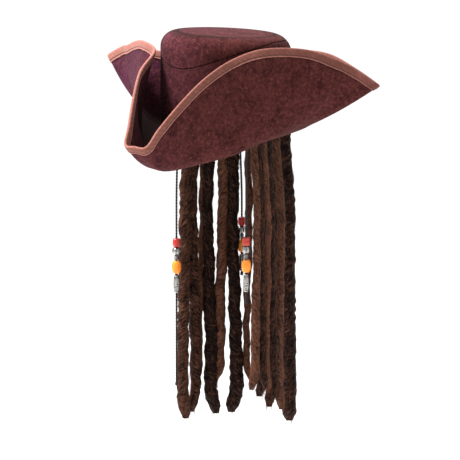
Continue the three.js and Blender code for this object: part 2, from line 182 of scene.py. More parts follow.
# The cord's twist and its knots
CORD_TURN = 9 * MM
KNOT_HEIGHT = 3.2 * MM
KNOT_TURNS = 1.6
KNOT_RADIUS = 1.5 * MM
KNOT_ABOVE_END = 3 * MM


def to_linear(hex_colour):
    """An sRGB hex colour, such as 4d2a2b, as linear red, green and blue."""
    channels = [int(hex_colour[i:i + 2], 16) / 255 for i in (0, 2, 4)]
    return tuple(c / 12.92 if c <= 0.04045 else ((c + 0.055) / 1.055) ** 2.4 for c in channels)


def length(name, metres, description):
    """A size that a user may change."""
    return bpy.props.FloatProperty(
        name=name, description=description, default=metres, unit="LENGTH", precision=4)


def share(name, value, description):
    """A proportion that a user may change."""
    return bpy.props.FloatProperty(
        name=name, description=description, default=value, subtype="FACTOR", min=0, max=1)


def count(name, value, description):
    """A number of copies that a user may change."""
    return bpy.props.IntProperty(name=name, description=description, default=value, min=1)


def colour(name, hex_colour, description):
    """A colour that a user may change."""
    return bpy.props.FloatVectorProperty(
        name=name, description=description, default=to_linear(hex_colour), subtype="COLOR",
        size=3, min=0, max=1)


WALL = 2 * MM
SIDE_LOW, SIDE_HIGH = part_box("crown_side")


class TRICORN_PG_crown(bpy.types.PropertyGroup):
    """Sizes of the head opening and the crown."""
    width: length("Opening Width", SIDE_HIGH.x - SIDE_LOW.x - 2 * WALL, "Head opening from side to side")
    depth: length("Opening Length", SIDE_HIGH.y - SIDE_LOW.y - 2 * WALL, "Head opening from front to back")
    lift: length("Opening Lift", 9 * MM, "How far the opening's edge rises at the sides")
    wall: length("Crown Wall", WALL, "Thickness of the backed suede")
    height: length("Crown Height", 155.5 * MM, "Top edge at mid length, above the opening")
    edge: length("Edge Radius", 25 * MM, "Rounding between the side and the top")
    dome: length("Dome", 3 * MM, "How far the middle of the top stands above its edge")
    fall: length("Top Fall", 24 * MM, "How much lower the top is at the back than at the front")
    seam_below: length("Seam Below Top", 6.5 * MM, "Least distance of the seam under the top's edge")
    curl: length("Seam Curl", 1.6 * MM, "Radius at which the panels roll into the seam")
    pucker: length("Seam Pucker", 0.35 * MM, "How far the stitches draw the cloth in along the seam")


class TRICORN_PG_brim(bpy.types.PropertyGroup):
    """Sizes of the brim and its binding."""
    wall: length("Brim Wall", 2.2 * MM, "Thickness of the stiffened suede")
    reach: length("Corner Reach", 124 * MM, "How far the front corner stands out from the crown")
    flap: length("Flap Height", 150 * MM, "Highest rim above the opening")
    ease: share("Fold Ease", 0.66, "0 folds the brim lazily, 1 sharply")
    gap: length("Sewn Gap", 0.3 * MM, "Clearance between sewn pieces")
    tape: length("Tape Width", 11 * MM, "How far the binding reaches over each face")
    stitch: length("Stitch Pitch", 2.9 * MM, "Distance from one stitch to the next")
    thread: length("Thread", 0.6 * MM, "Thickness of the sewing thread")


class TRICORN_PG_fringe(bpy.types.PropertyGroup):
    """Sizes of the dreadlocks and the strings of beads."""
    backing: length("Backing Height", 16 * MM, "Height of the tape that the locks are sewn to")
    backing_wall: length("Backing Wall", 1.6 * MM, "Thickness of that tape")
    sewn_at: share("Stitches", 0.7, "Height of the stitches on the backing tape")
    lock_length: length("Lock Length", 450 * MM, "Longest lock")
    lock_width: length("Lock Width", 15 * MM, "Widest lock")
    fuzz: length("Fuzz", 0.6 * MM, "How far the felted hair stands off every lock")
    sway: length("Lock Sway", 4 * MM, "How far the waviest lock bends to the side")
    spread: length("Lock Spread", 7 * MM, "How far the locks lean outwards")
    lean_from: length("Lean From", 20 * MM, "Depth where the leaning starts")
    lean_to: length("Lean To", 130 * MM, "Depth from which everything hangs plumb")
    hairs: count("Loose Hairs", 400, "Loose hairs on a lock of full width")
    hair: length("Hair Thickness", 0.42 * MM, "Thickness of a loose hair, drawn coarse enough to show")
    string_length: length("String Length", 410 * MM, "Longest string of beads")
    string_lean: length("String Lean", 18 * MM, "How far the string that leans most stands out")
    cord: length("Cord Thickness", 3.6 * MM, "Thickness of the twisted cord")


class TRICORN_PG_colours(bpy.types.PropertyGroup):
    """Colours of the hat's materials."""
    suede_dark: colour("Suede Dark", "260e0f", "Where the nap lies down")
    suede: colour("Suede", "492422", "The suede's main colour")
    suede_light: colour("Suede Light", "683733", "Where the nap stands up")
    # Painted shade, for suede where the brim or the crown hides it
    suede_painted_shade: colour("Suede Painted Shade", "1c0c09", "Cloth that the brim or the crown hides")
    plum: colour("Plum", "421d38", "The purple cast of the wearer's right")
    tape: colour("Binding", "74483d", "The dusty rose of the binding")
    # The binding's pale tone, also used for the painted highlights on its folds
    tape_pale_and_fold_highlight: colour("Binding Light", "a06a60", "The worn folds of the binding")
    hair_dark: colour("Hair Dark", "0a0302", "The darkest locks")
    hair_light: colour("Hair Light", "734a38", "The lightest strands")
    cord: colour("Cord", "1c0e0a", "The waxed cord")
    red: colour("Red Bead", "a80008", "The barrel beads")
    amber: colour("Amber Bead", "ee8200", "The oval beads")
    silver: colour("Silver", "a3a09c", "The plated beads")
    floor: colour("Floor", "fbfbfb", "The plain studio floor")


def add(tree, kind, inputs=(), **settings):
    """Adds a node with its settings. Each input takes a value, or the socket that feeds it."""
    node = tree.nodes.new(kind)
    for name, value in settings.items():
        setattr(node, name, value)
    for socket, value in dict(inputs).items():
        if isinstance(value, bpy.types.NodeSocket):
            tree.links.new(value, node.inputs[socket])
        else:
            node.inputs[socket].default_value = value
    return node


def rgba(value):
    """A colour property with full opacity."""
    return (*value, 1)


def finish(name, recipe, **choices):
    """The material of that name, made when it is first asked for. The recipe gets the tree, the
    place on the hat and the colours, and returns the inputs of the shader."""
    material = bpy.data.materials.get(name)
    if not material:
        material = bpy.data.materials.new(name)
        material.use_nodes = True
        tree = material.node_tree
        tree.nodes.clear()
        place = add(tree, "ShaderNodeTexCoord").outputs["Object"]
        inputs = recipe(tree, place, bpy.context.scene.tricorn_colours, **choices)
        shader = add(tree, "ShaderNodeBsdfPrincipled", inputs)
        add(tree, "ShaderNodeOutputMaterial", {"Surface": shader.outputs[0]})
    return material


def dyed(tree, ground, layers):
    """A ground colour with tints laid over it in turn. Each layer has a value, where on that value
    its tint begins and where it is full, the share of the tint there, and the tint."""
    colour_so_far = rgba(ground)
    for value, begin, end, full, tint in layers:
        amount = add(tree, "ShaderNodeMapRange", {
            "Value": value, "From Min": begin, "From Max": end, "To Min": 0.0, "To Max": full})
        colour_so_far = add(tree, "ShaderNodeMix", {
            FACTOR: amount.outputs[0], COLOUR_A: colour_so_far, COLOUR_B: rgba(tint)},
            data_type="RGBA").outputs[MIXED]
    return colour_so_far


def suede_cloth(tree, place, paint):
    """Microfibre suede, brushed: no gloss, a soft bright edge, blotches where the nap was stroked both ways
    and a grain of short fibres. The inside attribute marks painted shade, browner and darker: on cloth that
    the brim or the crown hides, beside the seams and the tape, and on the linings."""
    # Real fibres are 0.02 mm thick; they are drawn as tufts of 1 to 3 mm so that they show
    blotches, strokes, fibres = (
        add(tree, "ShaderNodeTexNoise", {
            "Vector": place, "Scale": 1 / (size * MM), "Detail": 5.0, "Roughness": rough,
            "Distortion": bend}).outputs["Fac"]
        for size, rough, bend in ((21, 0.65, 0.0), (5, 0.8, 0.15), (1.7, 0.65, 0.0)))
    side = add(tree, "ShaderNodeSeparateXYZ", {"Vector": place}).outputs["X"]
    # The inside attribute is painted shade
    painted_shade = add(tree, "ShaderNodeAttribute", attribute_name="inside").outputs["Fac"]
    body = dyed(tree, paint.suede, (
        (side, 0.06, -0.15, 0.75, paint.plum),
        (blotches, 0.56, 0.34, 0.75, paint.suede_dark),
        (strokes, 0.5, 0.68, 0.85, paint.suede_light),
        (strokes, 0.47, 0.3, 0.85, paint.suede_dark),
        (fibres, 0.5, 0.3, 0.5, paint.suede_dark),
        (painted_shade, 0.0, 1.0, 0.94, paint.suede_painted_shade),
    ))
    relief = add(tree, "ShaderNodeMath", {0: strokes, 1: fibres})
    bump = add(tree, "ShaderNodeBump", {
        "Height": relief.outputs[0], "Strength": 0.55, "Distance": 0.5 * MM})
    return {"Base Color": body, "Roughness": 0.95, "Sheen Weight": 0.03, "Sheen Roughness": 0.5,
            "Sheen Tint": (0.9, 0.5, 0.5, 1), "Specular IOR Level": 0.05, "Normal": bump.outputs[0]}


def bias_tape(tree, place, paint):
    """Cotton bias tape, woven and folded: matt, with the slanting weave of cloth cut across its threads.
    Painted highlights make the folds paler and painted shade darkens the stitch groove. Painted light makes
    the tape paler and rosier towards the wearer's right, on the key lamp's side, and painted shade makes it
    darker towards the left."""
    cloth = add(tree, "ShaderNodeUVMap", uv_map="cloth").outputs[0]
    turned = add(tree, "ShaderNodeMapping", {"Vector": cloth, "Rotation": (0, 0, math.radians(45))})
    # Threads are 0.4 mm apart on real tape. They are drawn 5.7 mm apart, as slubs that show
    weave = add(tree, "ShaderNodeTexWave", {
        "Vector": turned.outputs[0], "Scale": 2 * math.pi / WAVE_PHASE / (5.655 * MM),
        "Distortion": 1.5, "Detail": 2.0, "Detail Scale": 2.0}).outputs["Fac"]
    patches = add(tree, "ShaderNodeTexNoise", {
        "Vector": place, "Scale": 1 / (9 * MM), "Detail": 4.0, "Roughness": 0.65}).outputs["Fac"]
    side = add(tree, "ShaderNodeSeparateXYZ", {"Vector": place}).outputs["X"]
    # This attribute paints a highlight on the folds and shade in the stitch groove
    rubbed = add(tree, "ShaderNodeAttribute", attribute_name="rubbed").outputs["Fac"]
    paleness = rubbed
    # Besides random patches, painted light makes the wearer's right paler, on the key lamp's side
    for value, begin, end, least, most in (
            (patches, 0.35, 0.7, -0.12, 0.3), (side, 0.02, -0.12, 0.0, 0.55)):
        more = add(tree, "ShaderNodeMapRange", {
            "Value": value, "From Min": begin, "From Max": end, "To Min": least, "To Max": most})
        paleness = add(
            tree, "ShaderNodeMath", {0: paleness, 1: more.outputs[0]}, use_clamp=True).outputs[0]
    # Painted light and shade: paler folds, a near black stitch groove, and the wearer's left darker
    highlighted = dyed(tree, paint.tape, (
        (paleness, 0.0, 1.0, 1.0, paint.tape_pale_and_fold_highlight),
        (weave, 0.5, 0.0, 0.22, paint.suede),
        (side, 0.02, 0.22, 0.5, paint.suede),
        (rubbed, 0.0, -1.0, 0.85, paint.suede_painted_shade),
    ))
    relief = add(tree, "ShaderNodeMath", {0: weave, 1: patches})
    bump = add(tree, "ShaderNodeBump", {
        "Height": relief.outputs[0], "Strength": 0.35, "Distance": 0.25 * MM})
    return {"Base Color": highlighted, "Roughness": 0.88, "Sheen Weight": 0.05, "Sheen Roughness": 0.45,
            "Specular IOR Level": 0.12, "Normal": bump.outputs[0]}


def sewing_thread(tree, place, paint):
    """Spun polyester thread, a little shiny, in a pale rose that stands out from the tape."""
    fluff = add(tree, "ShaderNodeTexNoise", {"Vector": place, "Scale": 1 / (4 * MM), "Detail": 2.0})
    shade = dyed(tree, paint.tape, ((fluff.outputs["Fac"], 0.0, 1.0, 1.0, paint.tape_pale_and_fold_highlight),))
    return {"Base Color": shade, "Roughness": 0.6, "Sheen Weight": 0.1}


def felted_hair(tree, place, paint, loose=False):
    """Kinky artificial hair, backcombed and felted: streaks that wind round each lock, and locks
    of different shades. Single loose hairs have no relief of their own."""
    # The grain attribute winds round the lock, so the streaks have no joint
    source = {"Vector": place, "Scale": 1 / (3 * MM)} if loose else {
        "Vector": add(tree, "ShaderNodeAttribute", attribute_name="grain").outputs["Vector"],
        "Scale": 3.2, "Detail": 5.0, "Roughness": 0.72}
    streaks = add(tree, "ShaderNodeTexNoise", source).outputs["Fac"]
    shade = add(tree, "ShaderNodeAttribute", attribute_name="shade").outputs["Fac"]
    contrast = add(tree, "ShaderNodeMapRange", {
        "Value": streaks, "From Min": 0.36, "From Max": 0.72, "To Min": -0.6, "To Max": 0.6})
    lightness = add(tree, "ShaderNodeMath", {0: shade, 1: contrast.outputs[0]}, use_clamp=True)
    strand = dyed(tree, paint.hair_dark, ((lightness.outputs[0], 0.0, 1.0, 1.0, paint.hair_light),))
    inputs = {"Base Color": strand, "Roughness": 0.6, "Sheen Weight": 0.03, "Sheen Roughness": 0.4,
              "Sheen Tint": (0.8, 0.5, 0.38, 1), "Specular IOR Level": 0.06}
    if not loose:
        inputs["Normal"] = add(tree, "ShaderNodeBump", {
            "Height": streaks, "Strength": 0.8, "Distance": 1.1 * MM}).outputs[0]
    return inputs


def cotton(tree, place, paint, size, ground, tint, relief, **gloss):
    """Woven or twisted cotton, shaded fibre by fibre at a size, with the gloss it is given."""
    fibre = add(tree, "ShaderNodeTexNoise", {
        "Vector": place, "Scale": 1 / size, "Detail": 3.0}).outputs["Fac"]
    shade = dyed(tree, getattr(paint, ground), ((fibre, 0.0, 1.0, 1.0, getattr(paint, tint)),))
    bump = add(tree, "ShaderNodeBump", {"Height": fibre, **relief})
    return {"Base Color": shade, "Normal": bump.outputs[0], **gloss}


def waxed_cord():
    """Twisted cotton cord, waxed: nearly black, with a faint shine along each ply."""
    return finish(
        "Waxed cotton cord", cotton, size=0.8 * MM, ground="cord", tint="hair_dark",
        relief={"Strength": 0.4, "Distance": 0.2 * MM}, **{"Roughness": 0.5, "Specular IOR Level": 0.4})


def cotton_tape():
    """Plain woven cotton tape in brown, which carries the locks inside the opening."""
    return finish(
        "Woven cotton backing tape", cotton, size=1.2 * MM, ground="hair_dark", tint="suede",
        relief={"Strength": 0.5, "Distance": 0.3 * MM}, Roughness=0.9)


def moulded_acrylic(tree, place, paint, tint):
    """Acrylic bead, moulded and tumbled: a deep even colour under a hard bright gloss, with a
    faint swirl where the colour flowed."""
    flow = add(tree, "ShaderNodeTexNoise", {
        "Vector": place, "Scale": 1 / (9 * MM), "Detail": 2.0, "Distortion": 1.2}).outputs["Fac"]
    shade = dyed(tree, getattr(paint, tint), ((flow, 0.35, 0.7, 0.08, (1, 0.8, 0.45)),))
    return {"Base Color": shade, "Roughness": 0.2, "IOR": 1.49, "Specular IOR Level": 0.35,
            "Coat Weight": 0.2, "Coat Roughness": 0.06}


def antiqued_silver(tree, place, paint):
    """Silver plate, tumbled and blackened: bright on what stands out, dark in the hollows."""
    hollow = add(tree, "ShaderNodeAttribute", attribute_name="hollow").outputs["Fac"]
    tarnish = add(tree, "ShaderNodeTexNoise", {"Vector": place, "Scale": 1 / (2 * MM), "Detail": 3.0})
    patches = add(tree, "ShaderNodeMapRange", {
        "Value": tarnish.outputs["Fac"], "From Min": 0.5, "From Max": 0.8,
        "To Min": 0.0, "To Max": 0.3})
    black = add(tree, "ShaderNodeMath", {0: hollow, 1: patches.outputs[0]}, use_clamp=True)
    shade = dyed(tree, paint.silver, ((black.outputs[0], 0.0, 1.0, 1.0, (0.02, 0.018, 0.018)),))
    return {"Base Color": shade, "Metallic": 1.0, "Roughness": 0.26}


def studio_paper(tree, place, paint):
    """Matt paper that the hat is photographed over."""
    return {"Base Color": rgba(paint.floor), "Roughness": 1.0, "Specular IOR Level": 0.0}


def new_object(name, data):
    """An object at the origin, linked to the scene."""
    made = bpy.data.objects.new(name, data)
    bpy.context.scene.collection.objects.link(made)
    return made


class Skin:
    """Gathers the points, faces, UVs and point attributes of one mesh."""

    def __init__(self):
        self.points, self.faces, self.corners, self.values = [], [], [], {}
        self.size = 0

    def add(self, points, faces, corners, values):
        """Adds a closed part, turned so that its faces point out."""
        points, faces, corners = np.asarray(points), np.asarray(faces), np.asarray(corners)
        a, b, c, d = (points[faces[:, k]] for k in range(4))
        volume = np.einsum("ij,ij->", a, np.cross(b, c)) + np.einsum("ij,ij->", a, np.cross(c, d))
        if volume < 0:
            faces, corners = faces[:, ::-1], corners[:, ::-1]
        self.points.append(points)
        self.faces.append(faces + self.size)
        self.corners.append(corners)
        for name, value in values.items():
            self.values.setdefault(name, []).append(value)
        self.size += len(points)

    def grid(self, rings, closed_rings=False, u=None, v=None, caps=(), **values):
        """Adds a tube of closed rings. It closes on itself, or ends in the two given points."""
        count_rings, around = rings.shape[:2]
        u = np.arange(count_rings + 1.0) if u is None else u
        v = np.arange(around + 1.0) if v is None else v
        spans = count_rings if closed_rings else count_rings - 1
        i, j = (k.ravel() for k in np.meshgrid(np.arange(spans), np.arange(around), indexing="ij"))
        after_i, after_j = (i + 1) % count_rings, (j + 1) % around
        faces = np.stack([i * around + j, after_i * around + j, after_i * around + after_j,
                          i * around + after_j], axis=1)
        corners = np.stack([np.stack([u[i], v[j]], 1), np.stack([u[i + 1], v[j]], 1),
                            np.stack([u[i + 1], v[j + 1]], 1), np.stack([u[i], v[j + 1]], 1)], 1)
        points = rings.reshape(-1, 3)
        values = {
            name: np.broadcast_to(value, rings.shape[:2] + np.shape(value)[2:]).reshape(len(points), -1)
            for name, value in values.items()}
        for tip, row in zip(caps, (0, count_rings - 1)):
            points = np.vstack([points, tip])
            k = np.arange(around)
            here, after = row * around + k, row * around + (k + 1) % around
            pole = np.full(around, len(points) - 1)
            fan = [pole, here, after, after] if row == 0 else [pole, after, here, here]
            faces = np.vstack([faces, np.stack(fan, 1)])
            corners = np.vstack([corners, np.zeros((around, 4, 2)) + (u[row], 0)])
            values = {name: np.vstack([value, value[row * around]]) for name, value in values.items()}
        self.add(points, faces, corners, values)

    def build(self, name, material):
        """Makes the object. A face whose last two corners are one point becomes a triangle."""
        points, faces, corners = (np.concatenate(x) for x in (self.points, self.faces, self.corners))
        mesh = bpy.data.meshes.new(name)
        keep = np.ones(faces.shape, bool)
        keep[:, 1:] = faces[:, 1:] != faces[:, :-1]
        keep[:, 3] &= faces[:, 3] != faces[:, 0]
        mesh.from_pydata(points.tolist(), [], [f[k].tolist() for f, k in zip(faces, keep)])
        layer = mesh.uv_layers.new(name="cloth")
        layer.data.foreach_set("uv", corners[keep].astype(np.float32).ravel())
        for attribute, value in self.values.items():
            stacked = np.vstack(value).astype(np.float32)
            kind, field = ("FLOAT", "value") if stacked.shape[1] == 1 else ("FLOAT_VECTOR", "vector")
            mesh.attributes.new(attribute, kind, "POINT").data.foreach_set(field, stacked.ravel())
        mesh.shade_smooth()
        mesh.materials.append(material)
        return new_object(name, mesh)


def compass(turn):
    """Level directions of length 1 at a turn."""
    return np.stack([np.cos(turn), np.sin(turn), 0 * turn], axis=-1)


def wear(piece, slot, *nodes):
    """Fastens a finished piece to the hat and stands for the nodes. The slot is not used."""
    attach(piece, BODY)
    if nodes:
        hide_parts(*nodes)


def lerp(a, b, t):
    """The way from a to b at t."""
    return a + (b - a) * t


def smoothstep(t):
    """0 below 0, 1 above 1, and a smooth rise between."""
    t = np.clip(t, 0, 1)
    return t * t * (3 - 2 * t)


def unit(vectors):
    """Vectors of length 1."""
    return vectors / np.linalg.norm(vectors, axis=-1, keepdims=True)


def column(rows, name):
    """One column of a table."""
    return np.array([row[name] for row in rows], float)


def unevenness(seed, waves, turns, depth=0.0):
    """Soft ripples from -1 to 1 that close on themselves once round, where turns goes from 0 to 1."""
    random = np.random.default_rng(seed)
    total = 0
    for size in (1, 0.8, 0.6, 0.5):
        ripples = max(1, round(waves * random.uniform(0.5, 1.7)))
        slant, phase = random.uniform(-1, 1), random.uniform(0, 2 * math.pi)
        total = total + size * np.sin(2 * math.pi * (ripples * turns + slant * depth) + phase)
    return total / 2.9


def closed_curve(points, shares):
    """A smooth closed curve through the points, at shares of the way round."""
    place = np.mod(shares, 1) * len(points)
    i = np.floor(place).astype(int)
    w = (place - i)[:, None]
    p0, p1, p2, p3 = (points[(i + k) % len(points)] for k in (-1, 0, 1, 2))
    d0, d1, d2 = (np.sqrt(np.linalg.norm(b - a, axis=1))[:, None] for a, b in ((p0, p1), (p1, p2), (p2, p3)))
    leave = ((p1 - p0) / d0 - (p2 - p0) / (d0 + d1) + (p2 - p1) / d1) * d1
    arrive = ((p2 - p1) / d1 - (p3 - p1) / (d1 + d2) + (p3 - p2) / d2) * d1
    square = -3 * p1 + 3 * p2 - 2 * leave - arrive
    cube = 2 * p1 - 2 * p2 + leave + arrive
    return p1 + leave * w + square * w**2 + cube * w**3


def even_shares(points, stations):
    """Shares of the way round a closed curve that lie equally far apart along it."""
    fine = np.linspace(0, 1, 6001)
    steps = np.linalg.norm(np.diff(closed_curve(points, fine), axis=0), axis=1)
    walked = np.concatenate([[0], np.cumsum(steps)])
    return np.interp(np.arange(stations) / stations * walked[-1], walked, fine)


def opening_point(degrees, outwards, height):
    """A point on the head opening's ellipse, moved outwards."""
    crown = bpy.context.scene.tricorn_crown
    turn = np.radians(degrees)
    return np.stack(np.broadcast_arrays(
        (crown.width / 2 + outwards) * np.cos(turn), (crown.depth / 2 + outwards) * np.sin(turn),
        height), axis=-1)


def opening_angle(points):
    """The angle that opening_point takes to reach the direction of a point."""
    crown = bpy.context.scene.tricorn_crown
    return np.degrees(np.arctan2(points[..., 1] / crown.depth, points[..., 0] / crown.width))


def beyond_crown(degrees, outwards, height):
    """A point at a compass direction, moved outwards from where the brim is sewn on."""
    crown, brim = bpy.context.scene.tricorn_crown, bpy.context.scene.tricorn_brim
    turn = np.radians(degrees)
    sewn = crown.wall + brim.gap
    reach = outwards + 1 / np.hypot(
        np.cos(turn) / (crown.width / 2 + sewn), np.sin(turn) / (crown.depth / 2 + sewn))
    return np.stack([reach * np.cos(turn), reach * np.sin(turn), height], axis=-1)


def hem(degrees):
    """Height of the opening's edge, lowest at the front and the back."""
    return bpy.context.scene.tricorn_crown.lift * np.cos(np.radians(degrees)) ** 2


def top_edge(y):
    """Height of the top's edge, which falls towards the back."""
    crown = bpy.context.scene.tricorn_crown
    return crown.height - crown.fall * y / crown.depth


def face_start(y):
    """Height at which the crown's straight side ends and its rounded edge begins."""
    return top_edge(y) - bpy.context.scene.tricorn_crown.edge


def up_face(height, y):
    """Distance up the crown's outer face, from the level of the opening, at a height."""
    radius = bpy.context.scene.tricorn_crown.edge
    start = face_start(y)
    rise = np.clip((height - start) / radius, 0, 1)
    return np.where(height < start, height, start + radius * np.arcsin(rise))


def crown_face(degrees, y, distance, inset):
    """A point at a distance up the crown's outer face, taken inwards by inset."""
    crown = bpy.context.scene.tricorn_crown
    start = face_start(y)
    angle = np.clip((distance - start) / crown.edge, 0, math.pi / 2)
    radius = crown.edge - inset
    point = opening_point(degrees, crown.wall - radius * (1 - np.cos(angle)) - inset, 0.0)
    rounded_height = start + radius * np.sin(angle) + crown.fall * (y - point[..., 1]) / crown.depth
    point[..., 2] = np.where(distance < start, distance, rounded_height)
    return point


def crown_stations():
    """Angle, place along Y and seam height at each station round the crown."""
    crown = bpy.context.scene.tricorn_crown
    rows = opening_point(column(SEAM_ROWS, "at"), crown.wall, column(SEAM_ROWS, "up") * crown.height)
    line = closed_curve(rows, np.linspace(0, 1, 2400, endpoint=False))
    degrees = np.arange(CROWN_STATIONS) * 360 / CROWN_STATIONS
    seam = np.interp(degrees, opening_angle(line), line[:, 2], period=360)
    y = opening_point(degrees, crown.wall, 0)[:, 1]
    return degrees, y, np.minimum(seam, top_edge(y) - crown.seam_below)


def seam_pucker(degrees, away):
    """How far the seam's stitches draw the cloth in, fading away from the seam."""
    turns = degrees / 360
    drawn = 0.6 + 0.4 * unevenness(3, 78, turns)
    return bpy.context.scene.tricorn_crown.pucker * drawn * np.exp(-away / (5 * MM))


class TRICORN_OT_crown(bpy.types.Operator):
    """Builds the crown's side band and its tip panel, whose edges roll into the seam"""
    bl_idname = "tricorn.crown"
    bl_label = "Build Crown"

    def execute(self, context):
        crown, brim = context.scene.tricorn_crown, context.scene.tricorn_brim
        degrees, y, seam = (values[:, None] for values in crown_stations())
        turn = np.radians(np.linspace(0, 90, CURL_ROWS))
        rolled, sunk = (
            np.tile(crown.curl * (1 - wave(turn)), (CROWN_STATIONS, 1)) for wave in (np.sin, np.cos))

        low, top = hem(degrees), up_face(seam - brim.gap / 2, y)
        rise = np.linspace(0, 1, SIDE_ROWS, endpoint=False)[None, :]
        distance = np.hstack([lerp(low, top - crown.curl, rise), top - rolled])
        risen = (distance - low) / (top - low)
        sag = 1.2 * MM * unevenness(5, 3, degrees / 360) * np.sin(np.pi * np.clip(risen, 0, 1))
        curl = np.hstack([np.zeros((CROWN_STATIONS, SIDE_ROWS)), sunk])
        face = crown_face(degrees, y, distance, curl + seam_pucker(degrees, top - distance) - sag)
        lining = crown_face(degrees, y, distance[:, BAND_LINING], crown.wall)
        # Painted shade: the band darkens towards its foot by the brim and along the seam, and its lining is
        # all painted shade
        shade = np.maximum(smoothstep(1.15 - 1.9 * risen), np.exp((distance - top) / SEAM_SHADE))
        band = Skin()
        band.grid(np.hstack([face, lining[:, ::-1]]), closed_rings=True,
                  inside=np.hstack([shade, np.ones(lining.shape[:2])]))
        wear(band.build("side_band", finish(SUEDE, suede_cloth)), "suede", "crown_side")

        foot, end = up_face(seam + brim.gap / 2, y), face_start(y) + crown.edge * math.pi / 2
        rise = np.linspace(0, 1, TIP_ROWS + 1)[None, 1:]
        distance = np.hstack([foot + sunk, lerp(foot + crown.curl, end, rise)])
        curl = np.hstack([rolled, np.zeros((CROWN_STATIONS, TIP_ROWS))])
        face = crown_face(degrees, y, distance, curl + seam_pucker(degrees, distance - foot))
        middle = np.array([0, 0, self.dome_height(face[0, -1], 0.0)])
        face = np.hstack([face, self.dome(face[:, -1], DOME_ROWS)])
        rise = np.linspace(0, 1, TIP_LINING_ROWS)[None, :]
        lining = crown_face(degrees, y, lerp(foot, end, rise), crown.wall)
        lining = np.hstack([lining, self.dome(lining[:, -1], TIP_LINING_ROWS)])
        # The shade is strongest along the edge of the top and fades towards the seam
        shade = np.hstack([np.zeros((CROWN_STATIONS, DOME_ROWS)), np.exp((foot - distance) / SEAM_SHADE),
                           np.ones(lining.shape[:2])])
        # The lining of the tip is painted shade all through
        tip = Skin()
        tip.grid(np.swapaxes(np.hstack([face[:, ::-1], lining]), 0, 1),
                 caps=(middle, middle - (0, 0, crown.wall)), inside=shade.T)
        wear(tip.build("tip_panel", finish(SUEDE, suede_cloth)), "suede", "crown_tip")
        return {"FINISHED"}

    def dome_height(self, edge, part):
        """Height of the dome on the way from its edge, at 1, to its middle."""
        drop = edge[..., 2] - top_edge(edge[..., 1])
        rise = bpy.context.scene.tricorn_crown.dome * (1 - part * part)
        return top_edge(edge[..., 1] * part) + drop + rise

    def dome(self, edge, rows):
        """Rings from the top's edge in towards its middle."""
        part = (1 - np.linspace(0, 1, rows + 2)[1:-1])[None, :]
        spread = edge[:, None, :] * part[..., None]
        spread[..., 2] = self.dome_height(edge[:, None, :], part)
        return spread


def brim_sections():
    """All sections round the brim: the left half, then the right half as its bent mirror."""
    right = []
    for row in BRIM_SECTIONS[-2:0:-1]:
        bent = {**row, **RIGHT_HALF.get(row["name"], {})}
        right.append({**bent, **{name: 180 - bent[name] for name in ("foot", "foldAt", "rimAt")}})
    return BRIM_SECTIONS + right


def brim_surface():
    """The brim's middle surface: points from foot to rim at each station, how far each lies from
    the foot, its normal towards the crown, and the length of the rim."""
    crown, brim = bpy.context.scene.tricorn_crown, bpy.context.scene.tricorn_brim
    rows = brim_sections()
    foot = column(rows, "foot")
    foot_loop = opening_point(foot, crown.wall - brim.gap, hem(foot) + brim.wall / 2)
    fold_loop, rim_loop = (
        beyond_crown(column(rows, part + "At"), column(rows, part + "Out") * brim.reach,
                     column(rows, part + "Up") * brim.flap) for part in ("fold", "rim"))
    shares = even_shares(rim_loop, BRIM_STATIONS)
    feet, folds, rims = (closed_curve(points, shares) for points in (foot_loop, fold_loop, rim_loop))
    feet = opening_point(opening_angle(feet), crown.wall - brim.gap, feet[:, 2])
    near, far = lerp(feet, folds, brim.ease), lerp(rims, folds, brim.ease)
    t = np.linspace(0, 1, SECTION_SAMPLES)[None, :, None]
    points = ((1 - t) ** 3 * feet[:, None] + 3 * (1 - t) ** 2 * t * near[:, None]
              + 3 * (1 - t) * t**2 * far[:, None] + t**3 * rims[:, None])
    steps = np.linalg.norm(np.diff(points, axis=1), axis=2)
    away = np.hstack([np.zeros((BRIM_STATIONS, 1)), np.cumsum(steps, axis=1)])
    along = np.roll(points, -1, axis=0) - np.roll(points, 1, axis=0)
    normals = unit(np.cross(np.gradient(points, axis=1), along))
    flat = smoothstep(away / (8 * MM))[..., None]
    normals = unit(lerp(np.array([0, 0, 1.0]), normals, flat))
    rim_length = np.linalg.norm(np.roll(rims, -1, axis=0) - rims, axis=1).sum()
    return points, away, normals, rim_length


def on_brim(surface, from_foot, above):
    """Points at distances from the foot, which may lie beyond the rim, and above the middle."""
    points, away, normals, _ = surface
    out = unit(points[:, -1] - points[:, -6])
    place = np.empty((*from_foot.shape, 3))
    for i, wanted in enumerate(from_foot):
        for k in range(3):
            skin = np.interp(wanted, away[i], points[i, :, k])
            facing = np.interp(wanted, away[i], normals[i, :, k])
            place[i, :, k] = skin + facing * above[i] + out[i, k] * np.maximum(wanted - away[i, -1], 0)
    return place


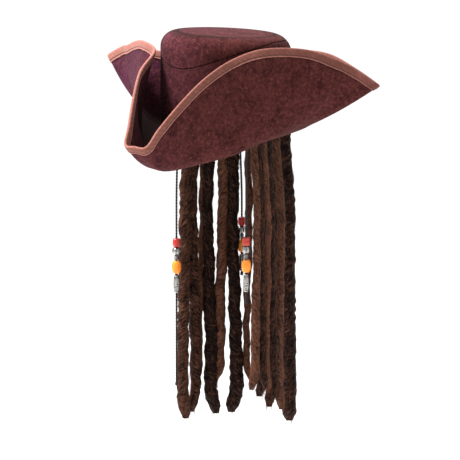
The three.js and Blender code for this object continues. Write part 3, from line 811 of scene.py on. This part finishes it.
class TRICORN_OT_brim(bpy.types.Operator):
    """Builds the brim, one stiffened ring turned up into three flaps"""
    bl_idname = "tricorn.brim"
    bl_label = "Build Brim"

    def execute(self, context):
        brim = context.scene.tricorn_brim
        surface = brim_surface()
        rim = surface[1][:, -1:]
        tape_edge = rim - brim.tape
        # Rows lie closer together beside the tape, where the shadow is
        by_tape = np.array([[-4, -2.6, -1.8, -1.2, -0.6, 0, 0.6, 2, 5, 8]]) * MM
        rise = np.linspace(0, 1, BRIM_ROWS - by_tape.size - 1)[None, :]
        from_foot = np.hstack([rise * (tape_edge - 6 * MM), tape_edge + by_tape, rim])
        part = from_foot / rim
        turns = np.arange(BRIM_STATIONS)[:, None] / BRIM_STATIONS
        soft = 0.7 * MM * unevenness(11, 14, turns, 1.5 * part) * np.sin(np.pi * part) ** 2
        half = brim.wall / 2 + 0 * from_foot
        upper, lower = on_brim(surface, from_foot, soft + half), on_brim(surface, from_foot, soft - half)
        # Painted shadow along the tape's inner edge, and painted shade in the trough beside the crown,
        # darker towards the foot
        shadow = 0.85 * np.exp(-((from_foot - tape_edge + 0.3 * MM) / SEAM_SHADE) ** 2)
        painted_shade = smoothstep(1.25 - 1.35 * part)
        skin = Skin()
        skin.grid(np.hstack([upper, lower[:, ::-1]]), closed_rings=True,
                  inside=np.hstack([np.maximum(shadow, painted_shade), shadow[:, ::-1]]))
        wear(skin.build("suede_brim", finish(SUEDE, suede_cloth)), "suede", "brim")
        return {"FINISHED"}


def tape_section(brim):
    """The folded tape in section: distance past its inner edge, height above the brim's middle and its
    painted light there, a highlight on the inner edge and the rim's fold and shade in the stitch groove,
    once over the upper face, round the rim and back below."""
    half = brim.wall / 2
    along, above = column(TAPE_PROFILE, "along") * MM, column(TAPE_PROFILE, "above") * MM + half
    turn = np.radians([60, 35, 12, -12, -35, -60])
    round_along = brim.tape + 0.1 * MM + 2.3 * MM * np.cos(turn)
    round_above = above[-1] * np.sin(turn) / math.sin(math.radians(75))
    channel = half + 0.05 * MM
    end = brim.tape + 0.2 * MM
    all_along = np.concatenate([along, round_along, along[::-1], [0, end, end, 0]])
    all_above = np.concatenate([above, round_above, -above[::-1], [-channel, -channel, channel, channel]])
    # Painted highlight along the inner edge and over the rim's fold, painted shade in the stitch groove
    groove = np.exp(-((along - STITCHES_ALONG) / (0.5 * MM)) ** 2)
    edge_highlight_and_groove_shade = np.where(along < STITCHES_ALONG, 0.9, 0.0) * (1 - groove) - 1.6 * groove
    rim_fold_highlight = np.exp(-((round_along - brim.tape - 2.3 * MM) / (1.2 * MM)) ** 2) * 0.55
    rubbed = np.concatenate([edge_highlight_and_groove_shade, rim_fold_highlight, edge_highlight_and_groove_shade[::-1], np.zeros(4)])
    return all_along, all_above, rubbed


class TRICORN_OT_binding(bpy.types.Operator):
    """Folds bias tape over the rim and sews it down on both faces"""
    bl_idname = "tricorn.binding"
    bl_label = "Build Binding"

    def execute(self, context):
        brim = context.scene.tricorn_brim
        surface = brim_surface()
        rim = surface[1][:, -1:]
        along, above, rubbed = tape_section(brim)
        turns = np.arange(BRIM_STATIONS)[:, None] / BRIM_STATIONS
        puff = 1 + 0.09 * unevenness(21, 150, turns, along[None, :] / (30 * MM))
        outer = np.arange(len(along)) < len(along) - 4
        height = np.where(outer, np.sign(above) * (brim.wall / 2)
                          + (above - np.sign(above) * brim.wall / 2) * puff, above + 0 * turns)
        edge = 0.35 * MM * unevenness(23, 60, turns) * (along < 1 * MM)
        rings = on_brim(surface, rim - brim.tape + along[None, :] + edge, height)
        girth = np.concatenate([[0], np.cumsum(np.hypot(np.diff(along), np.diff(above)))])
        skin = Skin()
        # The tape's section carries its painted highlights and groove shade
        skin.grid(rings, closed_rings=True, u=np.linspace(0, surface[3], BRIM_STATIONS + 1),
                  v=np.append(girth, girth[-1] + MM), rubbed=rubbed[None, :])
        wear(skin.build("rim_binding", finish("Woven cotton bias tape", bias_tape)), "bias_tape",
             "brim_binding")

        from_foot = rim - brim.tape + STITCHES_ALONG
        lift = np.full(rim.shape, brim.wall / 2 + STITCHES_ABOVE)
        seams = [on_brim(surface, from_foot, side * lift)[:, 0] for side in (1, -1)]
        thread = finish("Spun polyester thread", sewing_thread)
        wear(sew("rim_stitches", seams, brim.stitch, brim.thread, thread), "bias_tape")
        return {"FINISHED"}


def polylines(name, lines, closed=False, **values):
    """An object of loose edges along the lines, for a node tree to follow."""
    edges, start = [], 0
    for line in lines:
        last = len(line) if closed else len(line) - 1
        edges += [(start + i, start + (i + 1) % len(line)) for i in range(last)]
        start += len(line)
    mesh = bpy.data.meshes.new(name)
    mesh.from_pydata(np.vstack(lines).tolist(), edges, [])
    for attribute, value in values.items():
        mesh.attributes.new(attribute, "FLOAT", "POINT").data.foreach_set(
            "value", np.concatenate(value).astype(np.float32))
    return new_object(name, mesh)


def new_tree(name, inputs):
    """A geometry node tree with named inputs, its first node and its inputs' identifiers."""
    tree = bpy.data.node_groups.new(name, "GeometryNodeTree")
    tree.interface.new_socket("Geometry", in_out="INPUT", socket_type="NodeSocketGeometry")
    tree.interface.new_socket("Geometry", in_out="OUTPUT", socket_type="NodeSocketGeometry")
    names = {}
    for label, kind in inputs.items():
        socket = tree.interface.new_socket(label, in_out="INPUT", socket_type=kind)
        names[label] = socket.identifier
    return tree, add(tree, "NodeGroupInput"), names


def close_tree(tree, geometry, material):
    """Ends a tree: instances become real, and the material is set."""
    real = add(tree, "GeometryNodeRealizeInstances", {"Geometry": geometry})
    painted = add(tree, "GeometryNodeSetMaterial", {"Geometry": real.outputs[0], "Material": material})
    add(tree, "NodeGroupOutput", {"Geometry": painted.outputs[0]})


def bake_tree(piece, tree, names, **sizes):
    """Runs a node tree on an object, and leaves a plain mesh in place of the object's own."""
    modifier = piece.modifiers.new(tree.name, "NODES")
    modifier.node_group = tree
    for label, value in sizes.items():
        modifier[names[label]] = value
    graph = bpy.context.evaluated_depsgraph_get()
    mesh = bpy.data.meshes.new_from_object(
        piece.evaluated_get(graph), preserve_all_data_layers=True, depsgraph=graph)
    piece.modifiers.remove(modifier)
    piece.data = mesh
    mesh.shade_smooth()
    return piece


def sew(name, seams, pitch, thread, material):
    """Stitches at even distances along closed seams."""
    tree, given, names = new_tree(name, {"Pitch": "NodeSocketFloat", "Thread": "NodeSocketFloat"})
    seam = add(tree, "GeometryNodeMeshToCurve", {"Mesh": given.outputs["Geometry"]})
    places = add(tree, "GeometryNodeCurveToPoints", {
        "Curve": seam.outputs[0], "Length": given.outputs["Pitch"]}, mode="LENGTH")
    bead = add(tree, "GeometryNodeMeshUVSphere", {"Segments": 6, "Rings": 4, "Radius": 0.5})
    reach = add(tree, "ShaderNodeMath", {0: given.outputs["Pitch"], 1: 0.72}, operation="MULTIPLY")
    size = add(tree, "ShaderNodeCombineXYZ", {
        "X": given.outputs["Thread"], "Y": given.outputs["Thread"], "Z": reach.outputs[0]})
    stitches = add(tree, "GeometryNodeInstanceOnPoints", {
        "Points": places.outputs["Points"], "Instance": bead.outputs["Mesh"],
        "Rotation": places.outputs["Rotation"], "Scale": size.outputs[0]})
    close_tree(tree, stitches.outputs[0], material)
    return bake_tree(polylines(name, seams, closed=True), tree, names, Pitch=pitch, Thread=thread)


def leaning(depth, reach):
    """How far a hanging thing has moved outwards at a depth under its sewn end."""
    fringe = bpy.context.scene.tricorn_fringe
    return reach * smoothstep((depth - fringe.lean_from) / (fringe.lean_to - fringe.lean_from))


def sewn_height(degrees):
    """Height at which locks and strings are sewn to the backing tape."""
    fringe = bpy.context.scene.tricorn_fringe
    return hem(degrees) + fringe.sewn_at * fringe.backing


class Lock:
    """One felted rope: its middle line, its width along it and its lumps."""

    def __init__(self, row, index):
        fringe, brim = bpy.context.scene.tricorn_fringe, bpy.context.scene.tricorn_brim
        self.row, self.index = row, index
        self.core = row["width"] * fringe.lock_width / 2
        self.half = self.core + fringe.fuzz
        self.length = row["length"] * fringe.lock_length
        self.gap, self.spread, self.sway = brim.gap, fringe.spread, row["sway"] * fringe.sway
        self.twist = (1 if index % 2 else -1) * 2 * math.pi / STRAND_TURN

    def middle(self, depth):
        """The middle line at a depth under the sewn end."""
        at, part = self.row["at"], depth / self.length
        outwards = leaning(depth, self.spread) - 2 * self.gap - self.core
        middle = opening_point(at, outwards, sewn_height(at) - depth)
        aside = unit(opening_point(at + 90, 0, 0.0))
        sway = self.sway * np.sin(part * 0.85 * 2 * math.pi)
        wander = WANDER * unevenness(100 + self.index, 6, part) * smoothstep(part * 6)
        hook = HOOK * (1 if self.index % 3 else -1) * smoothstep((part - 0.9) / 0.1) ** 2
        return middle + aside * (sway + wander + hook)[..., None]

    def radius(self, depth, turn):
        """Distance of the surface from the middle line, with lumps and wound strands."""
        part = depth / self.length
        lumps = 0.12 * unevenness(200 + self.index, 9, part) + 0.07 * unevenness(300 + self.index, 26, part)
        wound = turn + self.twist * depth
        strands = (0.055 * np.sin(3 * wound + 1.3 * np.sin(depth / (21 * MM)))
                   + 0.035 * np.sin(5 * wound - depth / (9 * MM) + self.index)
                   + 0.02 * np.sin(8 * wound + depth / (4 * MM)))
        flat = 0.07 * np.cos(2 * turn + depth / (60 * MM) + self.index)
        taper = 1 - 0.5 * smoothstep((part - 0.965) / 0.035) ** 1.5
        gather = 1 - 0.25 * smoothstep(1 - part / 0.04)
        return self.half * (1.07 + 0.17 * part + lumps + strands + flat) * taper * gather

    def surface(self, depth, turn, lift=0.0):
        """Points of the surface, or lifted off it."""
        reach = self.radius(depth, turn) + lift
        return self.middle(depth) + compass(turn) * reach[..., None]

    def felt(self, ropes):
        """Adds the lock itself."""
        depth = np.linspace(0, self.length, round(self.length / LOCK_STEP) + 1)[:, None]
        turn = np.arange(LOCK_SIDES)[None, :] * 2 * math.pi / LOCK_SIDES
        wound = turn + self.twist * depth
        grain = compass(wound) + np.array([0, 0, 1]) * (depth / GRAIN_LENGTH + 7 * self.index)[..., None]
        shade = 0.75 * self.row["light"] + 0.12 * unevenness(400 + self.index, 9, depth / self.length)
        ropes.grid(self.surface(depth, turn), caps=self.middle(depth[[0, -1], 0]), grain=grain, shade=shade)

    def loose_hairs(self, hairs):
        """Lines of hairs that wind down the lock and stand a little off it, with a wisp at its end,
        and the lightness along each. The number of hairs is that of a lock of full width."""
        random = np.random.default_rng(500 + self.index)
        total = round(hairs * (0.35 + 0.65 * self.row["width"]))
        lines = []
        for k in range(total):
            kind = WISP if k < total * WISP_SHARE else ALONG
            start = self.length * random.uniform(*kind["start"])
            run = random.uniform(*kind["run"]) * MM
            turn = random.uniform(0, 2 * math.pi)
            wrap = math.copysign(random.uniform(0.2, 1.1), -self.twist) * kind["wrap"]
            stray = random.uniform(0.2, 1) ** 2 * kind["stray"] * MM
            t = np.linspace(0, 1, 6)
            depth = start + run * t
            inside = np.minimum(depth, self.length)
            line = self.surface(inside, turn + wrap * t, -0.25 * MM + stray * t**2)
            line[:, 2] -= depth - inside
            drift = random.normal(0, 1, 3) * kind["drift"] * MM
            lines.append(line + drift * (t**2)[:, None])
        random = np.random.default_rng(600 + self.index)
        light = 0.6 * self.row["light"]
        return lines, [np.full(len(line), light + random.uniform(0.1, 0.9)) for line in lines]


def comb(name, lines, shades, thickness, material):
    """Thin tapering hairs along the lines."""
    tree, given, names = new_tree(name, {"Thickness": "NodeSocketFloat"})
    strands = add(tree, "GeometryNodeMeshToCurve", {"Mesh": given.outputs["Geometry"]})
    part = add(tree, "GeometryNodeSplineParameter").outputs["Factor"]
    taper = add(tree, "ShaderNodeMapRange", {"Value": part, "To Min": 1.0, "To Max": 0.35})
    shaped = add(tree, "GeometryNodeSetCurveRadius", {
        "Curve": strands.outputs[0], "Radius": taper.outputs[0]})
    half = add(tree, "ShaderNodeMath", {0: given.outputs["Thickness"], 1: 0.5}, operation="MULTIPLY")
    profile = add(tree, "GeometryNodeCurvePrimitiveCircle", {
        "Resolution": 3, "Radius": half.outputs[0]})
    radius = add(tree, "GeometryNodeInputRadius").outputs[0]
    tubes = add(tree, "GeometryNodeCurveToMesh", {
        "Curve": shaped.outputs[0], "Profile Curve": profile.outputs[0], "Scale": radius,
        "Fill Caps": True})
    close_tree(tree, tubes.outputs[0], material)
    return bake_tree(polylines(name, lines, shade=shades), tree, names, Thickness=thickness)


class TRICORN_OT_fringe(bpy.types.Operator):
    """Builds the dreadlocks, their loose hairs and the tape that carries them"""
    bl_idname = "tricorn.fringe"
    bl_label = "Build Fringe"

    def execute(self, context):
        fringe, brim = context.scene.tricorn_fringe, context.scene.tricorn_brim
        ropes, lines, shades = Skin(), [], []
        for index, row in enumerate(LOCKS):
            lock = Lock(row, index)
            lock.felt(ropes)
            for known, more in zip((lines, shades), lock.loose_hairs(fringe.hairs)):
                known += more
        felt = finish("Felted artificial hair", felted_hair)
        loose = finish("Loose artificial hair", felted_hair, loose=True)
        wear(ropes.build("felted_locks", felt), "hair", "dreadlocks")
        wear(comb("loose_hairs", lines, shades, fringe.hair, loose), "hair")

        at = np.linspace(BACKING_FROM, BACKING_TO, BACKING_STATIONS)
        low = hem(at)
        outside, inside = -brim.gap, -brim.gap - fringe.backing_wall
        rings = np.stack([opening_point(at, out, low + up) for out, up in (
            (outside, 0), (outside, fringe.backing), (inside, fringe.backing), (inside, 0))], axis=1)
        tape = Skin()
        tape.grid(rings, caps=(rings[0].mean(0), rings[-1].mean(0)))
        backing = tape.build("backing_tape", cotton_tape())
        backing.data.shade_flat()
        wear(backing, "hair")
        return {"FINISHED"}


def tube(skin, line, radius, sides=8):
    """Adds a round tube along a line that never runs level."""
    ahead = unit(np.gradient(line, axis=0))
    side = unit(np.cross(ahead, np.array([0.31, 0.95, 0.05])))[:, None]
    up = np.cross(ahead, side[:, 0])[:, None]
    spoke = compass(np.arange(sides) * 2 * math.pi / sides)[None]
    rings = line[:, None] + radius * (side * spoke[..., :1] + up * spoke[..., 1:2])
    skin.grid(rings, caps=(line[0], line[-1]))


def string_line(row, depth):
    """A string's middle line at depths under its sewn end."""
    fringe, brim = bpy.context.scene.tricorn_fringe, bpy.context.scene.tricorn_brim
    inwards = 2 * brim.gap + fringe.backing_wall + fringe.cord / 2
    outwards = leaning(depth, row["lean"] * fringe.string_lean) - inwards
    return opening_point(row["at"], outwards, sewn_height(row["at"]) - depth)


def bead_skin(node, profile, relief):
    """A drilled bead in the place of its node. The profile gives half-widths from top to bottom,
    and relief maps its turn and height to a share of the width taken away."""
    low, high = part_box(node)
    centre, half, height = (low + high) / 2, (high.x - low.x) / 2, high.z - low.z
    hole = bpy.context.scene.tricorn_fringe.cord / 2 + 0.1 * MM
    part = np.linspace(0, 1, len(profile))[:, None]
    turn = np.arange(BEAD_SIDES)[None, :] * 2 * math.pi / BEAD_SIDES
    cut = np.broadcast_to(relief(turn, part), (len(profile), BEAD_SIDES))
    radius = np.maximum(np.array(profile)[:, None] * half * (1 - cut), hole + 0.2 * MM)
    # The rings run down the outside, and the first and last lie on the wall of the hole
    rows = np.pad(radius, ((1, 1), (0, 0)), constant_values=hole)
    level = height * (0.5 - np.pad(part, ((1, 1), (0, 0)), mode="edge"))
    rings = np.array(centre) + compass(turn) * rows[..., None] + np.array([0, 0, 1]) * level[..., None]
    skin = Skin()
    skin.grid(rings, closed_rings=True,
              hollow=np.pad(np.clip(cut * 9, 0, 1), ((1, 1), (0, 0)), constant_values=0.8))
    return skin


def rounded(rows, bulge, shoulder):
    """Half-widths of a bead from top to bottom: straight ends of a width, and a swelling middle."""
    part = np.linspace(-1, 1, rows)
    return shoulder + (1 - shoulder) * np.maximum(1 - np.abs(part) ** bulge, 0) ** (1 / bulge)


def smooth_bead(turn, part):
    """No relief."""
    return 0.0


def melon(turn, part):
    """Six lobes from hole to hole, with narrow grooves between."""
    groove = np.abs(np.cos(3 * (turn - 0.55)))
    return 0.16 * (1 - groove) ** 3 * np.sin(np.pi * part) ** 0.5


def ribs(turn, part):
    """Turned ribs round a spacer."""
    return 0.13 * (0.5 - 0.5 * np.cos(2 * np.pi * 4 * part))


def engraved(turn, part):
    """Leaves and scrolls cut into a spindle, repeated three times round it."""
    scroll = np.sin(3 * turn + 2.2 * np.sin(2 * np.pi * 3 * part)) * np.sin(2 * np.pi * 4 * part + 2 * turn)
    rings = np.exp(-((part - 0.12) / 0.02) ** 2) + np.exp(-((part - 0.88) / 0.02) ** 2)
    return 0.1 * np.clip(scroll, 0, 1) * np.sin(np.pi * part) ** 0.3 + 0.1 * rings


# What each bead of a string looks like: its half-widths, its relief and its slot
BEADS = table(("node", "piece", "profile", "relief", "slot"), [
    ("red_bead", "red_barrel", rounded(17, 3.2, 0.62), smooth_bead, "red_bead"),
    ("silver_ball", "silver_melon", rounded(19, 2.1, 0.42), melon, "silver_bead"),
    ("silver_spacer", "ribbed_spacer", rounded(33, 6, 0.85), ribs, "silver_bead"),
    ("amber_bead", "amber_oval", rounded(25, 2.1, 0.36), smooth_bead, "amber_bead"),
    ("silver_tube", "silver_spindle", rounded(61, 2.6, 0.5), engraved, "silver_bead"),
])


class TRICORN_OT_bead_strings(bpy.types.Operator):
    """Builds the three strings: twisted cord, knots and beads"""
    bl_idname = "tricorn.bead_strings"
    bl_label = "Build Bead Strings"

    def execute(self, context):
        finishes = {
            "red_bead": finish("Moulded red acrylic", moulded_acrylic, tint="red"),
            "amber_bead": finish("Moulded amber acrylic", moulded_acrylic, tint="amber"),
            "silver_bead": finish("Antiqued silver plate", antiqued_silver),
        }
        for row in STRINGS:
            self.cord(row)
            for kind in BEADS:
                node = f"{kind['node']}_{row['name']}"
                skin = bead_skin(node, kind["profile"], kind["relief"])
                bead = skin.build(f"{kind['piece']}_{row['name']}", finishes[kind["slot"]])
                wear(bead, kind["slot"], node)
        return {"FINISHED"}

    def cord(self, row):
        """Two plies wound round each other, with a knot under the amber bead and at the end."""
        fringe = bpy.context.scene.tricorn_fringe
        end = row["length"] * fringe.string_length
        depth = np.linspace(0, end, round(end / CORD_STEP))
        line = string_line(row, depth)
        ply = fringe.cord / 4
        skin = Skin()
        for side in (0, math.pi):
            wound = line + ply * compass(depth / CORD_TURN * 2 * math.pi + side)
            tube(skin, wound, ply * 1.04)
        name = row["name"]
        amber_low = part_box(f"amber_bead_{name}")[0].z
        tube_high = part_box(f"silver_tube_{name}")[1].z
        for place in (sewn_height(row["at"]) - (amber_low + tube_high) / 2, end - KNOT_ABOVE_END):
            t = np.linspace(0, 1, 40)
            hold = string_line(row, place + (t - 0.5) * KNOT_HEIGHT)
            tube(skin, hold + KNOT_RADIUS * compass(2 * math.pi * KNOT_TURNS * t), ply * 1.1)
        wear(skin.build(f"twisted_cord_{name}", waxed_cord()), "cord", f"bead_cord_{name}")


class TRICORN_OT_stage(bpy.types.Operator):
    """Makes the plain floor, the soft studio lights and the camera"""
    bl_idname = "tricorn.stage"
    bl_label = "Build Stage"

    def execute(self, context):
        scene = context.scene
        mesh = bpy.data.meshes.new("floor")
        reach, below = 30.0, -0.85
        mesh.from_pydata([(-reach, -reach, below), (reach, -reach, below), (reach, reach, below),
                          (-reach, reach, below)], [], [(0, 1, 2, 3)])
        mesh.materials.append(finish("Matt studio floor", studio_paper))
        new_object("floor", mesh)

        world = bpy.data.worlds.new("studio")
        world.use_nodes = True
        world.node_tree.nodes["Background"].inputs["Color"].default_value = (1, 1, 1, 1)
        world.node_tree.nodes["Background"].inputs["Strength"].default_value = 1.0
        scene.world = world
        scene.view_settings.view_transform = "Standard"

        middle = Vector((0, 0, 0.05))
        for name, place, size, power in (
            ("key", (-1.2, -1.0, 2.0), 0.9, 150),
            ("rim", (-0.9, 1.2, 1.6), 1.0, 26),
        ):
            lamp = bpy.data.lights.new(name, "AREA")
            lamp.shape = "DISK"
            lamp.size, lamp.energy = size, power
            light = new_object(name, lamp)
            light.location = place
            light.rotation_euler = (middle - Vector(place)).to_track_quat("-Z", "Y").to_euler()
        self.camera(scene)
        return {"FINISHED"}

    def camera(self, scene):
        """A long lens at the photograph's angle, on the middle of its frame."""
        azimuth, elevation = math.radians(33), math.radians(11.5)
        frame_width, lens, sensor = 0.667, 1200, 36
        right_of_middle, up_of_middle = 0.0058, -0.134
        right = Vector((math.cos(azimuth), math.sin(azimuth), 0))
        back = Vector((math.sin(azimuth) * math.cos(elevation),
                       -math.cos(azimuth) * math.cos(elevation), math.sin(elevation)))
        up = back.cross(right)
        data = bpy.data.cameras.new("camera")
        data.lens, data.sensor_width = lens, sensor
        data.clip_end = 100
        camera = new_object("camera", data)
        distance = frame_width * lens / sensor
        camera.location = right * right_of_middle + up * up_of_middle + back * distance
        camera.rotation_euler = back.to_track_quat("Z", "Y").to_euler()
        scene.camera = camera


class TRICORN_PT_panel(bpy.types.Panel):
    """Lists the hat's pieces and their sizes in the sidebar"""
    bl_idname = "TRICORN_PT_panel"
    bl_label = "Tricorn"
    bl_space_type = "VIEW_3D"
    bl_region_type = "UI"
    bl_category = "Tricorn"

    def draw(self, context):
        layout = self.layout
        for operator in OPERATORS:
            layout.operator(operator.bl_idname)
        for name, group in GROUPS.items():
            box = layout.box()
            box.label(text=name.replace("tricorn_", "").title())
            for field in group.__annotations__:
                box.prop(getattr(context.scene, name), field)


GROUPS = {
    "tricorn_crown": TRICORN_PG_crown,
    "tricorn_brim": TRICORN_PG_brim,
    "tricorn_fringe": TRICORN_PG_fringe,
    "tricorn_colours": TRICORN_PG_colours,
}
OPERATORS = (
    TRICORN_OT_stage,
    TRICORN_OT_crown,
    TRICORN_OT_brim,
    TRICORN_OT_binding,
    TRICORN_OT_fringe,
    TRICORN_OT_bead_strings,
)


def register():
    """Registers the classes and puts the settings on the scene."""
    for group in GROUPS.values():
        bpy.utils.register_class(group)
    for operator in OPERATORS:
        bpy.utils.register_class(operator)
    bpy.utils.register_class(TRICORN_PT_panel)
    for name, group in GROUPS.items():
        setattr(bpy.types.Scene, name, bpy.props.PointerProperty(type=group))


def unregister():
    """Takes the settings and the classes away again."""
    for name in GROUPS:
        delattr(bpy.types.Scene, name)
    bpy.utils.unregister_class(TRICORN_PT_panel)
    for operator in reversed(OPERATORS):
        bpy.utils.unregister_class(operator)
    for group in reversed(GROUPS.values()):
        bpy.utils.unregister_class(group)


def main():
    """Builds the whole hat."""
    register()
    bpy.ops.tricorn.stage()
    bpy.ops.tricorn.crown()
    bpy.ops.tricorn.brim()
    bpy.ops.tricorn.binding()
    bpy.ops.tricorn.fringe()
    bpy.ops.tricorn.bead_strings()


if __name__ == "__main__":
    main()
